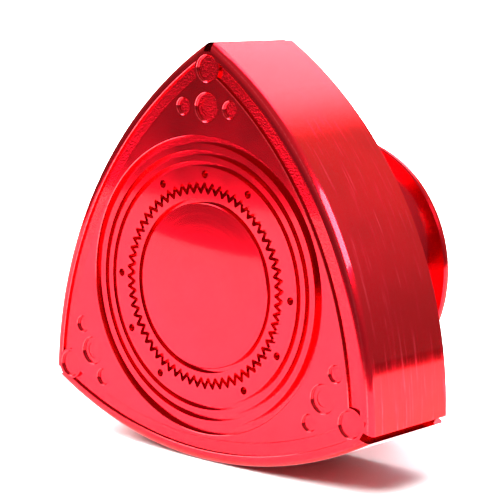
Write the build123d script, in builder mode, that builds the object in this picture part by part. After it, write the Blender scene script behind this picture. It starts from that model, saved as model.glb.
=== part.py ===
from build123d import *
from math import cos, radians, sin, sqrt
import os

# A rotor-shaped gear shift knob: a machined aluminium head with an engraved
# face, on a turned neck that takes the lever through a swappable sleeve.
#
# Millimetres and degrees. The knob's axis is the Y axis. The engraved face
# looks along -Y and the lever comes in from +Y. The head stands on its lower
# flank, with +Z up. The origin is the mouth of the sleeve's threaded hole.
# "Depth" always means the distance behind the engraved face.

# ---- Head ---------------------------------------------------------------
APEX_RADIUS = 32.4                       # knob axis to an apex
FLANK_RADIUS = APEX_RADIUS * sqrt(3)     # each flank is centred on the far apex
APEX_ANGLES = (90, 210, 330)
HEAD_DEPTH = 17.0
FACE_ROUNDING = 1.2                      # around the engraved face
BACK_CHAMFER = 0.35
APEX_SLOT_WIDTH = 1.15
APEX_SLOT_FLOOR = 30.9                   # knob axis to the slot's floor

# ---- Engraving on the face ----------------------------------------------
GROOVE_DEPTH = 0.8                       # ring grooves, ring gear and dots
RECESS_DEPTH = 0.4                       # side seal bands and pockets
POCKET_COVE = 0.10                       # slope around a pocket's floor
EDGE_BREAK = 0.08
RING_GROOVES = ((15.95, 16.60), (17.35, 18.05), (18.90, 19.95))
BAND_INSETS = (1.50, 3.25)               # side seal band, in from the flank
BAND_END_RADIUS = 2.12                   # around each corner pocket
CORNER_POCKET = (28.70, 1.76)            # distance from the axis, radius
BUTTON_POCKET = (23.65, 1.90)
SIDE_POCKET = (23.90, 1.12)
SIDE_POCKET_ANGLE = 9.7                  # either side of the apex line
BUTTON_DRILL_RADIUS = 1.15               # drill mark in the button pocket
BUTTON_DRILL_DEPTH = 0.08
TOOTH_COUNT = 63
TOOTH_TIP_RADIUS = 13.62
TOOTH_ROOT_RADIUS = 12.50
TOOTH_LINE_WIDTH = 0.48
DOT_CIRCLE_RADIUS = 14.90
DOT_RADIUS = 0.53
DOT_SPREAD = (-30, 0, 30)                # about each flank's middle

# ---- Centre cap ---------------------------------------------------------
CAP_FACE_RADIUS = 11.05
CAP_RADIUS = 11.62
CAP_SEAT_RADIUS = 11.65
CAP_THICKNESS = 3.0
CAP_CROWN = 0.35                         # rise of its domed face
CAP_RELIEF = (9.6, 0.5)                  # radius and depth of its underside
CAP_CLEARANCE = 0.05                     # under the cap, above the screw heads
CAP_RING_GROOVE = (1.5, 2.3)             # depths
CAP_RING_GROOVE_RADIUS = 10.75
SEAL_ROUNDING = 0.4                      # corner radius, as a share of the section

# ---- Neck screws --------------------------------------------------------
NECK_SCREW_COUNT = 3
NECK_SCREW_CIRCLE = 8.3                  # radius of their circle
NECK_SCREW_RADIUS = 1.45
NECK_SCREW_LENGTH = 10.0
NECK_SCREW_HEAD = (2.75, 3.0)            # radius, height
NECK_SCREW_HEX = 2.5                     # across flats
NECK_SCREW_HEX_DEPTH = 1.5
NECK_SCREW_CHAMFER = 0.25
NECK_SCREW_CLEARANCE_RADIUS = 1.7
NECK_SCREW_TAPPED_RADIUS = 1.5
COUNTERBORE_RADIUS = 2.95
LOCK_WASHER = (1.6, 2.8, 0.8)            # inner radius, outer radius, thickness
LOCK_WASHER_SPLIT = 0.5

# ---- Neck ---------------------------------------------------------------
NECK_LENGTH = 14.0                       # head's back to the end of the neck
SPIGOT_RADIUS = 11.0
SPIGOT_LENGTH = 7.3
SPIGOT_CLEARANCE = 0.03
SHOULDER_RADIUS = 13.2
WAIST_RADIUS = 11.5
WAIST_DEPTH = 20.3
RIM_RADIUS = 18.0
RIM_FRONT_DEPTH = 30.0
RIM_CHAMFER = 0.2
REAR_RELIEF = (11.0, 15.8, 0.9)          # inner radius, outer radius, depth
NECK_BORE_RADIUS = 6.03
NECK_BORE_FLOOR = 11.4                   # depth of the bore's blind end
SLEEVE_SEAT = (8.7, 1.25)                # radius and depth of the counterbore

# ---- Lever sleeve -------------------------------------------------------
SLEEVE_RADIUS = 6.0
SLEEVE_FLANGE = (8.6, 1.2)               # radius, thickness
SLEEVE_BORE_RADIUS = 4.32                # minor radius of an M10 x 1.25 thread
SLEEVE_FRONT_DEPTH = 12.65
SLEEVE_CHAMFER = 0.4
SLEEVE_RING_GROOVE = (25.8, 26.8)        # depths
SLEEVE_RING_GROOVE_RADIUS = 5.2
SLEEVE_NOTCH = (2.2, 2.0)                # across the flange's edge, width
STOP_PAD = (5.9, 1.2)                    # radius, thickness
STOP_PAD_ROUNDING = 0.3

# ---- Grub screws --------------------------------------------------------
GRUB_ANGLES = (30, 150, 270)
GRUB_DEPTH = 21.8
GRUB_RADIUS = 1.95
GRUB_HOLE_RADIUS = 2.0
GRUB_LENGTH = 4.0
GRUB_TIP_START = 6.12                    # tip's end, from the knob axis
GRUB_TIP_RADIUS = 1.1
GRUB_TIP_LENGTH = 1.7
GRUB_TIP_PROUD = 0.7
GRUB_HEX = 2.0
GRUB_HEX_DEPTH = 1.6
GRUB_CHAMFER = 0.2
DIMPLE_RADIUS = 1.4
DIMPLE_DEPTH = 0.85

LENGTH = HEAD_DEPTH + NECK_LENGTH
HALF_CHORD = FLANK_RADIUS / 2            # half the distance between two apexes
FLANK_DISTANCE = FLANK_RADIUS - APEX_RADIUS


def along(depth):
    """Y position of a depth behind the engraved face."""
    return depth - LENGTH


def behind_face(depth):
    """Plane parallel to the engraved face, looking out along -Y."""
    return Plane.XZ.offset(-along(depth))


def radial_plane(angle, radius, depth):
    """Plane that looks outwards from the knob's axis."""
    turn = radians(angle)
    outwards = Vector(cos(turn), 0, sin(turn))
    around = Vector(sin(turn), 0, -cos(turn))
    origin = outwards * radius + Vector(0, along(depth), 0)
    return Plane(origin=origin, x_dir=around, z_dir=outwards)


def polar(radius, angle):
    """Point on the face, by distance from the axis and angle."""
    return (radius * cos(radians(angle)), radius * sin(radians(angle)))


def curved_triangle(inset):
    """Rotor outline, moved in from its flanks by the inset."""
    corner = sqrt((FLANK_RADIUS - inset) ** 2 - HALF_CHORD ** 2) - APEX_RADIUS / 2
    with BuildSketch() as outline:
        with BuildLine():
            for apex in APEX_ANGLES:
                ThreePointArc(
                    polar(corner, apex),
                    polar(FLANK_DISTANCE - inset, apex + 60),
                    polar(corner, apex + 120),
                )
        make_face()
    return outline.sketch


def flat_ring(inner_radius, outer_radius):
    """Flat ring."""
    with BuildSketch() as ring:
        Circle(outer_radius)
        Circle(inner_radius, mode=Mode.SUBTRACT)
    return ring.sketch


def tooth_line():
    """Zigzag line of the ring gear, as a band of constant width."""
    step = 360 / (2 * TOOTH_COUNT)
    points = [
        polar(TOOTH_TIP_RADIUS if n % 2 == 0 else TOOTH_ROOT_RADIUS, 90 + n * step)
        for n in range(2 * TOOTH_COUNT)
    ]
    with BuildSketch() as band:
        with BuildLine():
            Polyline(*points, close=True)
        make_face()
        inner = offset(band.sketch, amount=-TOOTH_LINE_WIDTH / 2, mode=Mode.PRIVATE)
        offset(amount=TOOTH_LINE_WIDTH / 2, mode=Mode.REPLACE)
        add(inner, mode=Mode.SUBTRACT)
    return band.sketch


def side_seal_bands():
    """Three bands along the flanks, each ending in an arc at the corners."""
    with BuildSketch() as bands:
        add(curved_triangle(BAND_INSETS[0]))
        add(curved_triangle(BAND_INSETS[1]), mode=Mode.SUBTRACT)
        with PolarLocations(CORNER_POCKET[0], 3, start_angle=90):
            Circle(BAND_END_RADIUS, mode=Mode.SUBTRACT)
    return bands.sketch


def pockets():
    """Round recesses near the apexes."""
    with BuildSketch() as recesses:
        for distance, radius in (CORNER_POCKET, BUTTON_POCKET):
            with PolarLocations(distance, 3, start_angle=90):
                Circle(radius)
        for side in (-SIDE_POCKET_ANGLE, SIDE_POCKET_ANGLE):
            with PolarLocations(SIDE_POCKET[0], 3, start_angle=90 + side):
                Circle(SIDE_POCKET[1])
    return recesses.sketch


def grooves_and_dots():
    """Ring grooves, and the dots around the ring gear."""
    with BuildSketch() as cuts:
        for groove in RING_GROOVES:
            add(flat_ring(*groove))
        for spread in DOT_SPREAD:
            with PolarLocations(DOT_CIRCLE_RADIUS, 3, start_angle=90 + spread):
                Circle(DOT_RADIUS)
    return cuts.sketch


def ring_section(inner_radius, outer_radius, front, back):
    """Section of a squeezed seal ring that fills its groove, in the XY plane."""
    width = outer_radius - inner_radius
    thickness = back - front
    with BuildSketch() as section:
        with Locations((inner_radius + width / 2, along(front + thickness / 2))):
            RectangleRounded(width, thickness, SEAL_ROUNDING * min(width, thickness))
    return section.sketch


# ---- Head ---------------------------------------------------------------
with BuildPart() as rotor_head:
    with BuildSketch(behind_face(0)):
        add(curved_triangle(0))
    extrude(amount=-HEAD_DEPTH)
    face_side, back_side = rotor_head.faces().filter_by(Axis.Y).sort_by(Axis.Y)
    chamfer(back_side.edges(), BACK_CHAMFER)
    fillet(rotor_head.edges().group_by(Axis.Y)[0], FACE_ROUNDING)

    # Apex seal slots, the full depth of the head.
    for apex in APEX_ANGLES:
        with BuildSketch(radial_plane(apex, APEX_SLOT_FLOOR, HEAD_DEPTH / 2)):
            Rectangle(APEX_SLOT_WIDTH, 2 * HEAD_DEPTH)
        extrude(amount=APEX_RADIUS, mode=Mode.SUBTRACT)

    # Shallow pockets and the seal bands, all of one depth.
    with BuildSketch(behind_face(0)):
        add(pockets())
    extrude(amount=-RECESS_DEPTH, mode=Mode.SUBTRACT)
    chamfer(rotor_head.edges(Select.LAST).group_by(Axis.Y)[-1], POCKET_COVE)
    with BuildSketch(behind_face(0)):
        add(side_seal_bands())
    extrude(amount=-RECESS_DEPTH, mode=Mode.SUBTRACT)

    # Deeper ring grooves and dots.
    with BuildSketch(behind_face(0)):
        add(grooves_and_dots())
    extrude(amount=-GROOVE_DEPTH, mode=Mode.SUBTRACT)

    # Seat for the centre cap.
    with BuildSketch(behind_face(0)):
        Circle(CAP_SEAT_RADIUS)
    extrude(amount=-CAP_THICKNESS, mode=Mode.SUBTRACT)

    # Every edge is eased, except around the ends of the bands.
    engraved_face = rotor_head.faces().filter_by(Axis.Y).sort_by(Axis.Y)[0]
    for wire in engraved_face.inner_wires():
        long_edges = wire.edges().filter_by(lambda edge: abs(edge.radius - BAND_END_RADIUS) > 0.01)
        chamfer(long_edges, EDGE_BREAK)

    with BuildSketch(behind_face(0)):
        add(tooth_line())
    extrude(amount=-GROOVE_DEPTH, mode=Mode.SUBTRACT)

    # Drill marks in the floors of the button pockets.
    with BuildSketch(behind_face(RECESS_DEPTH)):
        with PolarLocations(BUTTON_POCKET[0], 3, start_angle=90):
            Circle(BUTTON_DRILL_RADIUS)
    extrude(amount=-BUTTON_DRILL_DEPTH, mode=Mode.SUBTRACT)

    # Counterbored holes for the neck screws, under the cap.
    with BuildSketch(behind_face(CAP_THICKNESS)):
        with PolarLocations(NECK_SCREW_CIRCLE, NECK_SCREW_COUNT, start_angle=90):
            Circle(COUNTERBORE_RADIUS)
    extrude(amount=-(CAP_CLEARANCE + NECK_SCREW_HEAD[1] + LOCK_WASHER[2]), mode=Mode.SUBTRACT)
    with BuildSketch(behind_face(CAP_THICKNESS)):
        with PolarLocations(NECK_SCREW_CIRCLE, NECK_SCREW_COUNT, start_angle=90):
            Circle(NECK_SCREW_CLEARANCE_RADIUS)
    extrude(amount=-HEAD_DEPTH, mode=Mode.SUBTRACT)

    # Socket for the neck's spigot.
    with BuildSketch(behind_face(HEAD_DEPTH)):
        Circle(SPIGOT_RADIUS + SPIGOT_CLEARANCE)
    extrude(amount=SPIGOT_LENGTH, mode=Mode.SUBTRACT)

rotor_head.part.label = "rotor_head"


# ---- Centre cap ---------------------------------------------------------
with BuildPart() as centre_cap:
    with BuildSketch(behind_face(CAP_THICKNESS)):
        Circle(CAP_RADIUS)
    extrude(amount=CAP_THICKNESS - GROOVE_DEPTH)
    with BuildSketch(behind_face(GROOVE_DEPTH)):
        Circle(CAP_FACE_RADIUS)
    extrude(amount=GROOVE_DEPTH + CAP_CROWN)
    dome_radius = (CAP_FACE_RADIUS**2 + CAP_CROWN**2) / (2 * CAP_CROWN)
    with Locations((0, along(dome_radius - CAP_CROWN), 0)):
        Sphere(dome_radius, mode=Mode.INTERSECT)
    chamfer(centre_cap.edges().group_by(Axis.Y)[0], EDGE_BREAK)

    # Groove for the seal ring, and a relief in the underside.
    with BuildSketch(behind_face(CAP_RING_GROOVE[0])):
        add(flat_ring(CAP_RING_GROOVE_RADIUS, CAP_RADIUS))
    extrude(amount=-(CAP_RING_GROOVE[1] - CAP_RING_GROOVE[0]), mode=Mode.SUBTRACT)
    with BuildSketch(behind_face(CAP_THICKNESS)):
        Circle(CAP_RELIEF[0])
    extrude(amount=CAP_RELIEF[1], mode=Mode.SUBTRACT)

centre_cap.part.label = "centre_cap"

with BuildPart() as cap_seal_ring:
    with BuildSketch():
        add(ring_section(CAP_RING_GROOVE_RADIUS, CAP_SEAT_RADIUS - 0.02, *CAP_RING_GROOVE))
    revolve(axis=Axis.Y)

cap_seal_ring.part.label = "cap_seal_ring"


# ---- Neck screws and their lock washers ---------------------------------
screw_seat = CAP_THICKNESS + CAP_CLEARANCE + NECK_SCREW_HEAD[1]

with BuildPart() as neck_screws:
    with BuildSketch(behind_face(screw_seat)):
        with PolarLocations(NECK_SCREW_CIRCLE, NECK_SCREW_COUNT, start_angle=90):
            Circle(NECK_SCREW_HEAD[0])
    extrude(amount=NECK_SCREW_HEAD[1])
    head_tops = neck_screws.faces().filter_by(Axis.Y).group_by(Axis.Y)[0]
    chamfer(head_tops.edges(), NECK_SCREW_CHAMFER)
    with BuildSketch(behind_face(screw_seat)):
        with PolarLocations(NECK_SCREW_CIRCLE, NECK_SCREW_COUNT, start_angle=90):
            Circle(NECK_SCREW_RADIUS)
    extrude(amount=-NECK_SCREW_LENGTH)
    shank_ends = neck_screws.faces().filter_by(Axis.Y).group_by(Axis.Y)[-1]
    chamfer(shank_ends.edges(), NECK_SCREW_CHAMFER)
    with BuildSketch(behind_face(screw_seat - NECK_SCREW_HEAD[1])):
        with PolarLocations(NECK_SCREW_CIRCLE, NECK_SCREW_COUNT, start_angle=90):
            RegularPolygon(NECK_SCREW_HEX / 2, 6, major_radius=False)
    extrude(amount=-NECK_SCREW_HEX_DEPTH, mode=Mode.SUBTRACT)

neck_screws.part.label = "neck_screws"

with BuildPart() as lock_washers:
    with BuildSketch(behind_face(screw_seat + LOCK_WASHER[2])):
        with PolarLocations(NECK_SCREW_CIRCLE, NECK_SCREW_COUNT, start_angle=90):
            add(flat_ring(LOCK_WASHER[0], LOCK_WASHER[1]))
        with PolarLocations(NECK_SCREW_CIRCLE + LOCK_WASHER[1], NECK_SCREW_COUNT, start_angle=90):
            Rectangle(2 * LOCK_WASHER[1], LOCK_WASHER_SPLIT, mode=Mode.SUBTRACT)
    extrude(amount=LOCK_WASHER[2])

lock_washers.part.label = "lock_washers"


# ---- Neck ---------------------------------------------------------------
with BuildPart() as flared_neck:
    with BuildSketch():
        waist = (WAIST_RADIUS, along(WAIST_DEPTH))
        shoulder = (SHOULDER_RADIUS, along(HEAD_DEPTH))
        rim_front = (RIM_RADIUS - RIM_CHAMFER, along(RIM_FRONT_DEPTH))
        with BuildLine():
            TangentArc(waist, shoulder, tangent=(0, -1))
            TangentArc(waist, rim_front, tangent=(0, 1))
            Polyline(
                rim_front,
                (RIM_RADIUS, along(RIM_FRONT_DEPTH + RIM_CHAMFER)),
                (RIM_RADIUS, along(LENGTH - RIM_CHAMFER)),
                (RIM_RADIUS - RIM_CHAMFER, along(LENGTH)),
                (0, along(LENGTH)),
                (0, along(HEAD_DEPTH - SPIGOT_LENGTH)),
                (SPIGOT_RADIUS, along(HEAD_DEPTH - SPIGOT_LENGTH)),
                (SPIGOT_RADIUS, along(HEAD_DEPTH)),
                shoulder,
            )
        make_face()
    revolve(axis=Axis.Y)

    # Blind bore for the sleeve, with a seat for its flange.
    with BuildSketch(behind_face(LENGTH)):
        Circle(NECK_BORE_RADIUS)
    extrude(amount=LENGTH - NECK_BORE_FLOOR, mode=Mode.SUBTRACT)
    with BuildSketch(behind_face(LENGTH)):
        Circle(SLEEVE_SEAT[0])
    extrude(amount=SLEEVE_SEAT[1], mode=Mode.SUBTRACT)

    # Shallow turned relief in the rear face.
    with BuildSketch(behind_face(LENGTH)):
        add(flat_ring(REAR_RELIEF[0], REAR_RELIEF[1]))
    extrude(amount=REAR_RELIEF[2], mode=Mode.SUBTRACT)
    rear_face = flared_neck.faces().filter_by(Axis.Y).sort_by(Axis.Y)[-2:]
    rear_circles = rear_face.edges().filter_by(GeomType.CIRCLE)
    chamfer(rear_circles.filter_by(lambda edge: edge.radius < RIM_RADIUS / 1.1), EDGE_BREAK)

    # Tapped holes for the neck screws.
    with BuildSketch(behind_face(HEAD_DEPTH - SPIGOT_LENGTH)):
        with PolarLocations(NECK_SCREW_CIRCLE, NECK_SCREW_COUNT, start_angle=90):
            Circle(NECK_SCREW_TAPPED_RADIUS)
    extrude(amount=-SPIGOT_LENGTH, mode=Mode.SUBTRACT)

    # Radial holes for the grub screws.
    for angle in GRUB_ANGLES:
        with BuildSketch(radial_plane(angle, 0, GRUB_DEPTH)):
            Circle(GRUB_HOLE_RADIUS)
        extrude(amount=RIM_RADIUS, mode=Mode.SUBTRACT)

flared_neck.part.label = "flared_neck"

with BuildPart() as stop_pad:
    with BuildSketch(behind_face(NECK_BORE_FLOOR)):
        Circle(STOP_PAD[0])
    extrude(amount=-STOP_PAD[1])
    fillet(stop_pad.edges(), STOP_PAD_ROUNDING)

stop_pad.part.label = "stop_pad"


# ---- Lever sleeve -------------------------------------------------------
with BuildPart() as lever_sleeve:
    with BuildSketch(behind_face(LENGTH)):
        Circle(SLEEVE_RADIUS)
    extrude(amount=LENGTH - SLEEVE_FRONT_DEPTH)
    chamfer(lever_sleeve.edges().sort_by(Axis.Y)[0], SLEEVE_CHAMFER)
    with BuildSketch(behind_face(LENGTH)):
        Circle(SLEEVE_FLANGE[0])
    extrude(amount=SLEEVE_FLANGE[1])
    chamfer(lever_sleeve.edges().sort_by(Axis.Y)[-1], EDGE_BREAK)
    with BuildSketch(behind_face(SLEEVE_RING_GROOVE[0])):
        add(flat_ring(SLEEVE_RING_GROOVE_RADIUS, SLEEVE_RADIUS))
    extrude(amount=-(SLEEVE_RING_GROOVE[1] - SLEEVE_RING_GROOVE[0]), mode=Mode.SUBTRACT)
    with BuildSketch(behind_face(LENGTH)):
        Circle(SLEEVE_BORE_RADIUS)
    extrude(amount=LENGTH, mode=Mode.SUBTRACT)

    # Pry notches in the flange.
    with BuildSketch(behind_face(LENGTH)):
        with PolarLocations(SLEEVE_FLANGE[0], 2):
            Rectangle(SLEEVE_NOTCH[0], SLEEVE_NOTCH[1])
    extrude(amount=SLEEVE_FLANGE[1], mode=Mode.SUBTRACT)

    # Dimples that the grub screw tips seat in.
    for angle in GRUB_ANGLES:
        with BuildSketch(radial_plane(angle, SLEEVE_RADIUS - DIMPLE_DEPTH, GRUB_DEPTH)):
            Circle(DIMPLE_RADIUS)
        extrude(amount=SLEEVE_RADIUS, mode=Mode.SUBTRACT)

lever_sleeve.part.label = "lever_sleeve"

with BuildPart() as sleeve_seal_ring:
    with BuildSketch():
        add(ring_section(SLEEVE_RING_GROOVE_RADIUS, SLEEVE_RADIUS, *SLEEVE_RING_GROOVE))
    revolve(axis=Axis.Y)

sleeve_seal_ring.part.label = "sleeve_seal_ring"


# ---- Grub screws --------------------------------------------------------
def grub_screw(angle):
    """Set screw with a hexagon socket and a bored end that holds its tip."""
    start = GRUB_TIP_START + GRUB_TIP_PROUD
    with BuildPart() as screw:
        with BuildSketch(radial_plane(angle, start, GRUB_DEPTH)):
            Circle(GRUB_RADIUS)
        extrude(amount=GRUB_LENGTH)
        chamfer(screw.edges(), GRUB_CHAMFER)
        with BuildSketch(radial_plane(angle, start, GRUB_DEPTH)):
            Circle(GRUB_TIP_RADIUS)
        extrude(amount=GRUB_TIP_LENGTH - GRUB_TIP_PROUD, mode=Mode.SUBTRACT)
        with BuildSketch(radial_plane(angle, start + GRUB_LENGTH, GRUB_DEPTH)):
            RegularPolygon(GRUB_HEX / 2, 6, major_radius=False)
        extrude(amount=-GRUB_HEX_DEPTH, mode=Mode.SUBTRACT)
    return screw.part


def grub_tip(angle):
    """Soft tip that bears on the sleeve."""
    with BuildPart() as tip:
        with BuildSketch(radial_plane(angle, GRUB_TIP_START, GRUB_DEPTH)):
            Circle(GRUB_TIP_RADIUS)
        extrude(amount=GRUB_TIP_LENGTH)
        chamfer(tip.edges(), GRUB_CHAMFER)
    return tip.part


grub_pieces = []
for number, angle in enumerate(GRUB_ANGLES, start=1):
    for piece, name in ((grub_screw(angle), "grub_screw"), (grub_tip(angle), "grub_tip")):
        piece.label = f"{name}_{number}"
        grub_pieces.append(piece)


# ---- Files --------------------------------------------------------------
os.makedirs("parts", exist_ok=True)
export_step(rotor_head.part, "parts/rotor_head.step")
export_step(centre_cap.part, "parts/centre_cap.step")
export_step(cap_seal_ring.part, "parts/cap_seal_ring.step")
export_step(neck_screws.part, "parts/neck_screws.step")
export_step(lock_washers.part, "parts/lock_washers.step")
export_step(flared_neck.part, "parts/flared_neck.step")
export_step(stop_pad.part, "parts/stop_pad.step")
export_step(lever_sleeve.part, "parts/lever_sleeve.step")
export_step(sleeve_seal_ring.part, "parts/sleeve_seal_ring.step")
for piece in grub_pieces:
    export_step(piece, f"parts/{piece.label}.step")
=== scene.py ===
from math import cos, pi, radians, sin

import bpy
from mathutils import Matrix, Vector


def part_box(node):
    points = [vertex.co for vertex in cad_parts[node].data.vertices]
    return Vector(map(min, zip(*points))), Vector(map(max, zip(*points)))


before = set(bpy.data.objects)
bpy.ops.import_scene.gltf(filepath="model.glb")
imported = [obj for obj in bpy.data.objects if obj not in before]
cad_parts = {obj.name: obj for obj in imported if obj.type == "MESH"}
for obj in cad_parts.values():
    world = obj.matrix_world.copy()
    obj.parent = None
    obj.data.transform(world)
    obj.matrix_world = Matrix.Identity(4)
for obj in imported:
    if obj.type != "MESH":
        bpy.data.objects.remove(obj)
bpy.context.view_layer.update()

# The looks of the shift knob: anodised aluminium head, cap and neck, a turned
# brass lever sleeve with a cut thread, and small steel, rubber and nylon pieces.
# Blender's units are metres. Material patterns are worked out in millimetres.

# ---- Places, read from the frame ----------------------------------------
MM = 0.001
head_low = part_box("rotor_head")[0]
FACE_Y = head_low.y
FLOOR_Z = head_low.z

# ---- Camera -------------------------------------------------------------
CAMERA_AZIMUTH = 40.71
CAMERA_ELEVATION = 8.745
CAMERA_ROLL = 1.16
CAMERA_DISTANCE = 0.2442
CAMERA_TARGET = (0.00534, FACE_Y, 0.00616)
CAMERA_LENS = 135.4
CAMERA_SHIFT = (0.0315, -0.0105)
SENSOR_WIDTH = 36.0                      # millimetres, as is the lens


def direction(azimuth, elevation):
    """Unit vector from the object; azimuth 0 is towards -Y, 90 towards +X."""
    a, e = radians(azimuth), radians(elevation)
    return Vector((sin(a) * cos(e), -cos(a) * cos(e), sin(e)))


def make_camera():
    data = bpy.data.cameras.new("camera")
    data.lens = CAMERA_LENS
    data.sensor_width = SENSOR_WIDTH
    data.shift_x, data.shift_y = CAMERA_SHIFT
    data.clip_start = 0.01
    data.clip_end = 100.0
    back = direction(CAMERA_AZIMUTH, CAMERA_ELEVATION)
    place = Matrix.Translation(Vector(CAMERA_TARGET) + back * CAMERA_DISTANCE)
    turn = back.to_track_quat("Z", "Y").to_matrix().to_4x4()
    roll = Matrix.Rotation(radians(CAMERA_ROLL), 4, "Z")
    camera = bpy.data.objects.new("camera", data)
    camera.matrix_world = place @ turn @ roll
    bpy.context.scene.collection.objects.link(camera)
    bpy.context.scene.camera = camera


# ---- Node helpers -------------------------------------------------------
class Graph:
    """A material's node tree, with short ways to add and join its nodes."""

    def __init__(self, name, colour, **constants):
        self.material = bpy.data.materials.new(name)
        self.material.use_nodes = True
        self.nodes = self.material.node_tree.nodes
        self.links = self.material.node_tree.links
        self.shader = self.nodes["Principled BSDF"]
        self.colour = (*colour, 1.0)
        self.shader.inputs["Base Color"].default_value = self.colour
        for socket, value in constants.items():
            self.shader.inputs[socket.replace("_", " ")].default_value = value
        place = self.nodes.new("ShaderNodeTexCoord")
        self.normal = place.outputs["Normal"]
        self.place = self.scaled(place.outputs["Object"], (1 / MM, 1 / MM, 1 / MM))
        self.x, self.y, self.z = self.split(self.place)

    def join(self, value, socket):
        """Feed a socket with another socket, or with a constant."""
        if isinstance(value, bpy.types.NodeSocket):
            self.links.new(value, socket)
        else:
            socket.default_value = value

    def shade(self, socket, value):
        """Feed one of the shader's own sockets."""
        self.join(value, self.shader.inputs[socket])

    def scaled(self, vector, factors):
        node = self.nodes.new("ShaderNodeVectorMath")
        node.operation = "MULTIPLY"
        self.join(vector, node.inputs[0])
        node.inputs[1].default_value = factors
        return node.outputs["Vector"]

    def split(self, vector):
        node = self.nodes.new("ShaderNodeSeparateXYZ")
        self.join(vector, node.inputs[0])
        return node.outputs

    def combine(self, x, y, z):
        node = self.nodes.new("ShaderNodeCombineXYZ")
        for value, socket in zip((x, y, z), node.inputs):
            self.join(value, socket)
        return node.outputs[0]

    def math(self, operation, a, b=0.0):
        node = self.nodes.new("ShaderNodeMath")
        node.operation = operation
        self.join(a, node.inputs[0])
        self.join(b, node.inputs[1])
        return node.outputs[0]

    def ramp(self, value, start, end, low=0.0, high=1.0):
        """Smooth change from low to high as the value goes from start to end."""
        node = self.nodes.new("ShaderNodeMapRange")
        node.interpolation_type = "SMOOTHSTEP"
        self.join(value, node.inputs["Value"])
        node.inputs["From Min"].default_value = start
        node.inputs["From Max"].default_value = end
        self.join(low, node.inputs["To Min"])
        self.join(high, node.inputs["To Max"])
        return node.outputs["Result"]

    def noise(self, vector, scale, detail=2.0):
        node = self.nodes.new("ShaderNodeTexNoise")
        self.join(vector, node.inputs["Vector"])
        node.inputs["Scale"].default_value = scale
        node.inputs["Detail"].default_value = detail
        return node.outputs["Fac"]

    def mix(self, factor, a, b):
        node = self.nodes.new("ShaderNodeMix")
        node.data_type = "RGBA"
        self.join(factor, node.inputs["Factor"])
        self.join(a, node.inputs["A"])
        self.join(b, node.inputs["B"])
        return node.outputs["Result"]

    def bump(self, height, distance_mm, below=None):
        node = self.nodes.new("ShaderNodeBump")
        node.inputs["Distance"].default_value = distance_mm * MM
        self.join(height, node.inputs["Height"])
        if below is not None:
            self.join(below, node.inputs["Normal"])
        return node.outputs["Normal"]

    def hypotenuse(self, a, b):
        squares = self.math("ADD", self.math("MULTIPLY", a, a), self.math("MULTIPLY", b, b))
        return self.math("SQRT", squares)

    def steepness(self):
        """How squarely the surface faces along Y: 1 on the face, 0 on the sides."""
        return self.math("ABSOLUTE", self.split(self.normal)[1])

    def radius(self):
        """Distance from the knob's axis."""
        return self.hypotenuse(self.x, self.z)

    def turned_lines(self, per_mm):
        """Fine rings left by a lathe tool, about the knob's axis."""
        along = self.math("MULTIPLY", self.y, per_mm)
        across = self.math("MULTIPLY", self.radius(), per_mm)
        wander = self.noise(self.place, 0.05, 1.0)
        return self.noise(self.combine(across, along, wander), 1.0, 3.0)


# ---- Anodised aluminium -------------------------------------------------
RED = (0.52, 0.002, 0.010)
HIGHLIGHT_AND_HAIRLINE_RED = (0.90, 0.10, 0.12)            # painted highlight on the engraving's eased edges, and the lighter red of hairline wear on the flanks
OXIDE = {
    "Metallic": 1.0,
    "Specular_Tint": (1.0, 0.15, 0.25, 1.0),
    "Coat_Weight": 0.25,
    "Coat_IOR": 1.5,
    "Coat_Roughness": 0.06,
}
# Depths below the head's face and heights of its patterns, in millimetres.
ENGRAVING_STARTS = (0.12, 0.20)
DEEP_GROOVES = (0.70, 0.90)
DEEP_SHARE = 0.35                        # how far the deep grooves look like the shallow ones
ENGRAVING_ROUGHNESS = 0.22
ENGRAVING_SPECKLE = 0.030
STREAK_HEIGHT = 0.0045
FACE_GRAIN = 0.0003
# Share of painted highlight on the eased edges of the engraving.
EDGE_HIGHLIGHT = 0.45
HAIRLINE_WEAR = 0.30


def cloudy_red(graph):
    """Red that varies a little from place to place."""
    cloud = graph.noise(graph.place, 0.09, 3.0)
    darker = tuple(channel * 0.88 for channel in RED)
    return graph.mix(graph.ramp(cloud, 0.35, 0.65), (*darker, 1.0), graph.colour)


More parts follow.
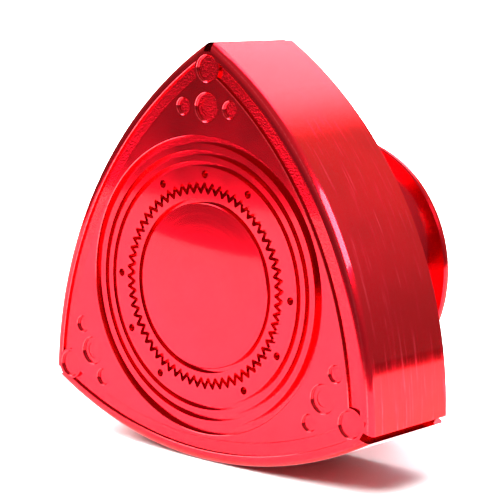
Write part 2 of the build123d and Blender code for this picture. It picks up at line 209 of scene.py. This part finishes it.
def anodised_head():
    graph = Graph("red_anodised_head", RED, **OXIDE)
    steep = graph.steepness()
    depth = graph.math("SUBTRACT", graph.y, FACE_Y / MM)
    on_face = graph.ramp(steep, 0.85, 0.97)
    on_flank = graph.ramp(steep, 0.5, 0.1)
    engraved = graph.ramp(depth, *ENGRAVING_STARTS)
    shallow = graph.ramp(depth, DEEP_GROOVES[1], DEEP_GROOVES[0], DEEP_SHARE, 1.0)
    below_face = graph.math("MULTIPLY", engraved, shallow)
    in_recess = graph.math("MULTIPLY", on_face, below_face)

    # Streaks that run around the flanks, coarse and fine.
    coarse = graph.noise(graph.scaled(graph.place, (0.10, 2.6, 0.10)), 1.0, 4.0)
    fine = graph.noise(graph.scaled(graph.place, (0.35, 7.0, 0.35)), 1.0, 2.0)
    streaks = graph.math("ADD", graph.math("MULTIPLY", coarse, 0.7), graph.math("MULTIPLY", fine, 0.3))
    grain = graph.noise(graph.place, 5.0, 3.0)
    speckle = graph.noise(graph.place, 4.0, 3.0)
    smudge = graph.noise(graph.place, 0.16, 2.0)

    face_roughness = graph.ramp(smudge, 0.3, 0.7, 0.14, 0.18)
    flank_roughness = graph.ramp(streaks, 0.35, 0.65, 0.09, 0.16)
    smooth = graph.ramp(on_flank, 0.0, 1.0, face_roughness, flank_roughness)
    graph.shade("Roughness", graph.ramp(in_recess, 0.0, 1.0, smooth, ENGRAVING_ROUGHNESS))

    # Painted highlight: the eased edges of the engraving are painted a lighter red, broken up by grain.
    edge = graph.math("MULTIPLY", graph.ramp(steep, 0.5, 0.62), graph.ramp(steep, 0.86, 0.76))
    near_face = graph.ramp(depth, 0.35, 0.2)
    painted_edge_highlight = graph.math("MULTIPLY", graph.math("MULTIPLY", edge, near_face), graph.ramp(grain, 0.3, 0.6))
    hairlines = graph.math("MULTIPLY", graph.ramp(streaks, 0.54, 0.68), on_flank)
    edge_highlight_share = graph.math("MULTIPLY", painted_edge_highlight, EDGE_HIGHLIGHT)
    highlight_and_hairlines = graph.math("ADD", edge_highlight_share, graph.math("MULTIPLY", hairlines, HAIRLINE_WEAR))
    # The lighter red is painted highlight on the edges, and real hairline wear on the flanks.
    graph.shade("Base Color", graph.mix(highlight_and_hairlines, cloudy_red(graph), (*HIGHLIGHT_AND_HAIRLINE_RED, 1.0)))

    on_streaks = graph.bump(graph.math("MULTIPLY", streaks, on_flank), STREAK_HEIGHT)
    on_grain = graph.bump(graph.math("MULTIPLY", grain, on_face), FACE_GRAIN, on_streaks)
    rough_floors = graph.math("MULTIPLY", speckle, in_recess)
    graph.shade("Normal", graph.bump(rough_floors, ENGRAVING_SPECKLE, on_grain))
    return graph.material


def anodised_turned(name, roughness, line_height):
    """The same finish on a turned piece."""
    graph = Graph(name, RED, **OXIDE)
    lines = graph.turned_lines(2.4)
    graph.shade("Base Color", cloudy_red(graph))
    graph.shade("Roughness", graph.ramp(lines, 0.35, 0.65, roughness, roughness + 0.05))
    graph.shade("Normal", graph.bump(lines, line_height))
    return graph.material


# ---- Other metals -------------------------------------------------------
THREAD_PITCH = 1.25                      # millimetres, as are the next two
THREAD_HEIGHT = 0.5
BORE_RADIUS = 4.32


def turned_brass():
    graph = Graph("turned_brass", (0.42, 0.27, 0.08), Metallic=1.0)
    lines = graph.turned_lines(3.0)
    tarnish = graph.ramp(graph.noise(graph.place, 0.35, 4.0), 0.4, 0.7)
    graph.shade("Base Color", graph.mix(tarnish, graph.colour, (0.40, 0.24, 0.07, 1.0)))
    graph.shade("Roughness", graph.ramp(lines, 0.3, 0.7, 0.18, 0.34))
    # The lever thread in the bore, one turn to each pitch.
    turn = graph.math("DIVIDE", graph.math("ARCTAN2", graph.z, graph.x), 2 * pi)
    phase = graph.math("FRACT", graph.math("ADD", graph.math("DIVIDE", graph.y, THREAD_PITCH), turn))
    flank = graph.math("MULTIPLY", graph.math("ABSOLUTE", graph.math("SUBTRACT", phase, 0.5)), 2.0)
    in_bore = graph.ramp(graph.radius(), BORE_RADIUS + 0.3, BORE_RADIUS + 0.1)
    thread = graph.bump(graph.math("MULTIPLY", flank, in_bore), THREAD_HEIGHT)
    graph.shade("Normal", graph.bump(lines, 0.004, thread))
    return graph.material


def black_oxide():
    graph = Graph("black_oxide_steel", (0.055, 0.055, 0.060), Metallic=1.0)
    patches = graph.noise(graph.place, 1.8, 4.0)
    brown = graph.ramp(patches, 0.45, 0.75)
    graph.shade("Base Color", graph.mix(brown, graph.colour, (0.12, 0.11, 0.11, 1.0)))
    graph.shade("Roughness", graph.ramp(patches, 0.3, 0.7, 0.28, 0.48))
    graph.shade("Normal", graph.bump(patches, 0.006))
    return graph.material


def spring_steel():
    graph = Graph("spring_steel", (0.56, 0.57, 0.58), Metallic=1.0)
    spangle = graph.noise(graph.place, 1.2, 3.0)
    graph.shade("Base Color", graph.mix(graph.ramp(spangle, 0.4, 0.7), graph.colour, (0.44, 0.45, 0.43, 1.0)))
    graph.shade("Roughness", graph.ramp(spangle, 0.3, 0.7, 0.22, 0.40))
    graph.shade("Normal", graph.bump(graph.turned_lines(4.0), 0.003))
    return graph.material


# ---- Rubber and nylon ---------------------------------------------------
def black_rubber():
    graph = Graph("black_rubber", (0.020, 0.020, 0.021), Roughness=0.6)
    pores = graph.noise(graph.place, 6.0, 3.0)
    bloom = graph.ramp(graph.noise(graph.place, 0.5, 3.0), 0.45, 0.75)
    graph.shade("Base Color", graph.mix(bloom, graph.colour, (0.045, 0.045, 0.044, 1.0)))
    graph.shade("Roughness", graph.ramp(pores, 0.3, 0.7, 0.52, 0.70))
    graph.shade("Normal", graph.bump(pores, 0.012))
    return graph.material


def natural_nylon():
    graph = Graph("nylon", (0.80, 0.78, 0.70), Roughness=0.42, Subsurface_Weight=0.25)
    graph.shader.inputs["Subsurface Radius"].default_value = (1.0, 0.8, 0.6)
    graph.shader.inputs["Subsurface Scale"].default_value = 0.4 * MM
    cloud = graph.ramp(graph.noise(graph.place, 1.5, 3.0), 0.4, 0.7)
    graph.shade("Base Color", graph.mix(cloud, graph.colour, (0.72, 0.69, 0.58, 1.0)))
    graph.shade("Roughness", graph.ramp(cloud, 0.0, 1.0, 0.36, 0.50))
    graph.shade("Normal", graph.bump(graph.noise(graph.place, 7.0, 2.0), 0.008))
    return graph.material


def dress(material, *names):
    for name in names:
        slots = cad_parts[name].data.materials
        slots.clear()
        slots.append(material)


def numbered(name):
    return [f"{name}_{number}" for number in (1, 2, 3)]


# ---- Studio -------------------------------------------------------------
FLOOR_FRONT = 0.23                       # the white floor ends this far in front
FLOOR_REACH = 5.0                        # and this far to the sides and behind
LIT_RADIUS = 0.40                        # reflections on the right see it white up to here
LIT_SLOPE = 0.35                         # of the line that parts the right from the rest
LIT_BLUR = 40.0                          # millimetres either side of that line
LIT_GLOW = 1.6
VIEW_GLOW = 2.0                          # what the camera sees beyond the knob's shadow
VIEW_GLOW_RADII = (80.0, 300.0)          # where that glow starts and is full, in millimetres
UNLIT_GREY = 0.1
WHITE = (1.0, 1.0, 1.0, 1.0)

# Azimuth, elevation, distance, size and radiance of each light.
BACK_PANEL = (219, 60, 0.90, (1.5, 1.2), 9.5)
BACK_PANEL_COLOUR = (1.0, 0.90, 1.14)
SIDE_CARD = (92, 37, 0.60, (0.75, 0.21), 25.0)
FLOOR_SOFTBOX = (-70, 66, 0.90, (1.7, 1.5), 11.0)
LEFT_CARD = (-85, 48, 0.80, (0.6, 0.5), 6.0)
PANEL_FADE_START = 0.6                   # share of the half size where the edge starts to fade

# Strengths of the room around the knob.
ROOM_DIM = 0.62
ROOM_ABOVE = 1.4
ROOM_BEHIND = 1.0
ROOM_ON_MATT = 0.2
BACKDROP = 1.1


def make_floor():
    """White paper floor. Reflections on the right see it dark beyond the part around the knob."""
    mesh = bpy.data.meshes.new("floor")
    front, reach = -FLOOR_FRONT, FLOOR_REACH
    corners = [(-reach, front, 0), (reach, front, 0), (reach, reach, 0), (-reach, reach, 0)]
    mesh.from_pydata(corners, [], [(0, 1, 2, 3)])
    floor = bpy.data.objects.new("floor", mesh)
    floor.location = (0, 0, FLOOR_Z)
    bpy.context.scene.collection.objects.link(floor)
    graph = Graph("white_floor", (0.82, 0.82, 0.82), Roughness=0.6)
    graph.shader.inputs["Emission Color"].default_value = WHITE
    distance = graph.hypotenuse(graph.x, graph.y)
    near = graph.ramp(distance, LIT_RADIUS / MM, 0.9 * LIT_RADIUS / MM)
    rightwards = graph.math("SUBTRACT", graph.x, graph.math("MULTIPLY", graph.y, LIT_SLOPE))
    lit = graph.math("MAXIMUM", near, graph.ramp(rightwards, LIT_BLUR, -LIT_BLUR))
    path = graph.nodes.new("ShaderNodeLightPath").outputs
    direct = graph.math("LESS_THAN", path["Diffuse Depth"], 0.5)
    reflected = graph.math("MULTIPLY", path["Is Glossy Ray"], direct)
    unlit = graph.math("MULTIPLY", reflected, graph.ramp(lit, 1.0, 0.0))
    graph.shade("Base Color", graph.mix(unlit, graph.colour, (UNLIT_GREY, UNLIT_GREY, UNLIT_GREY, 1.0)))
    glow_in_view = graph.ramp(distance, *VIEW_GLOW_RADII, 0.0, VIEW_GLOW)
    glow_reflected = graph.math("MULTIPLY", lit, LIT_GLOW)
    graph.shade("Emission Strength", graph.ramp(reflected, 0.0, 1.0, glow_in_view, glow_reflected))
    graph.shade("Normal", graph.bump(graph.noise(graph.place, 0.8, 3.0), 0.01))
    mesh.materials.append(graph.material)


def aimed(azimuth, elevation, distance):
    """Placement at that distance from the object's centre, facing it."""
    outward = direction(azimuth, elevation)
    return Matrix.Translation(outward * distance) @ outward.to_track_quat("Z", "Y").to_matrix().to_4x4()


def soft_panel(name, azimuth, elevation, distance, size, radiance, colour):
    """Glowing panel, fading out towards its edges, that lights no matt surfaces."""
    width, height = size
    mesh = bpy.data.meshes.new(name)
    corners = [(x * width / 2, y * height / 2, 0) for x, y in ((-1, -1), (1, -1), (1, 1), (-1, 1))]
    mesh.from_pydata(corners, [], [(0, 1, 2, 3)])
    panel = bpy.data.objects.new(name, mesh)
    panel.matrix_world = aimed(azimuth, elevation, distance)
    panel.visible_diffuse = False
    bpy.context.scene.collection.objects.link(panel)
    graph = Graph(name, (0.0, 0.0, 0.0), Roughness=1.0)
    graph.shader.inputs["Emission Color"].default_value = (*colour, 1.0)
    across = graph.math("DIVIDE", graph.math("ABSOLUTE", graph.x), width / 2 / MM)
    along = graph.math("DIVIDE", graph.math("ABSOLUTE", graph.y), height / 2 / MM)
    fades = [graph.ramp(share, 1.0, PANEL_FADE_START) for share in (across, along)]
    graph.shade("Emission Strength", radiance)
    graph.shade("Alpha", graph.math("MULTIPLY", *fades))
    mesh.materials.append(graph.material)


def softbox(name, azimuth, elevation, distance, size, radiance):
    """Rectangular area light facing the object."""
    data = bpy.data.lights.new(name, "AREA")
    data.shape = "RECTANGLE"
    data.size, data.size_y = size
    data.energy = radiance * pi * size[0] * size[1]
    light = bpy.data.objects.new(name, data)
    light.matrix_world = aimed(azimuth, elevation, distance)
    bpy.context.scene.collection.objects.link(light)
    return light


def make_world():
    """White where the camera looks past the floor. Reflections see a room that is lit behind and above."""
    world = bpy.data.worlds.new("studio")
    bpy.context.scene.world = world
    world.use_nodes = True
    nodes, links = world.node_tree.nodes, world.node_tree.links

    def ramp(value, start, end, low, high):
        node = nodes.new("ShaderNodeMapRange")
        node.interpolation_type = "SMOOTHSTEP"
        links.new(value, node.inputs["Value"])
        for socket, number in zip(("From Min", "From Max", "To Min", "To Max"), (start, end, low, high)):
            node.inputs[socket].default_value = number
        return node.outputs["Result"]

    def product(a, b):
        node = nodes.new("ShaderNodeMath")
        node.operation = "MULTIPLY"
        links.new(a, node.inputs[0])
        links.new(b, node.inputs[1])
        return node.outputs[0]

    split = nodes.new("ShaderNodeSeparateXYZ")
    links.new(nodes.new("ShaderNodeTexCoord").outputs["Generated"], split.inputs[0])
    upward = ramp(split.outputs["Z"], 0.0, 0.65, ROOM_DIM, ROOM_ABOVE)
    behind = ramp(split.outputs["Y"], -0.3, 0.5, ROOM_DIM, ROOM_BEHIND)
    path = nodes.new("ShaderNodeLightPath").outputs
    dimmer = ramp(path["Is Diffuse Ray"], 0.0, 1.0, 1.0, ROOM_ON_MATT)
    strength = product(product(upward, behind), dimmer)
    room = nodes["Background"]
    room.inputs["Color"].default_value = WHITE
    links.new(strength, room.inputs["Strength"])
    white = nodes.new("ShaderNodeBackground")
    white.inputs["Color"].default_value = (BACKDROP, BACKDROP, BACKDROP, 1.0)
    mix = nodes.new("ShaderNodeMixShader")
    links.new(path["Is Camera Ray"], mix.inputs[0])
    links.new(room.outputs[0], mix.inputs[1])
    links.new(white.outputs[0], mix.inputs[2])
    links.new(mix.outputs[0], nodes["World Output"].inputs["Surface"])


# ---- The scene ----------------------------------------------------------
dress(anodised_head(), "rotor_head")
dress(anodised_turned("red_anodised_cap", 0.20, 0.0006), "centre_cap")
dress(anodised_turned("red_anodised_neck", 0.12, 0.0020), "flared_neck")
dress(turned_brass(), "lever_sleeve")
dress(black_oxide(), "neck_screws", *numbered("grub_screw"))
dress(spring_steel(), "lock_washers")
dress(black_rubber(), "stop_pad", "cap_seal_ring", "sleeve_seal_ring")
dress(natural_nylon(), *numbered("grub_tip"))

make_floor()
make_world()
make_camera()
soft_panel("back_panel", *BACK_PANEL, BACK_PANEL_COLOUR)
# The cards light no matt surfaces, and the softbox shows in no reflections.
softbox("side_card", *SIDE_CARD).visible_diffuse = False
softbox("floor_softbox", *FLOOR_SOFTBOX).visible_glossy = False
softbox("left_card", *LEFT_CARD).visible_diffuse = False
bpy.context.scene.view_settings.view_transform = "Standard"
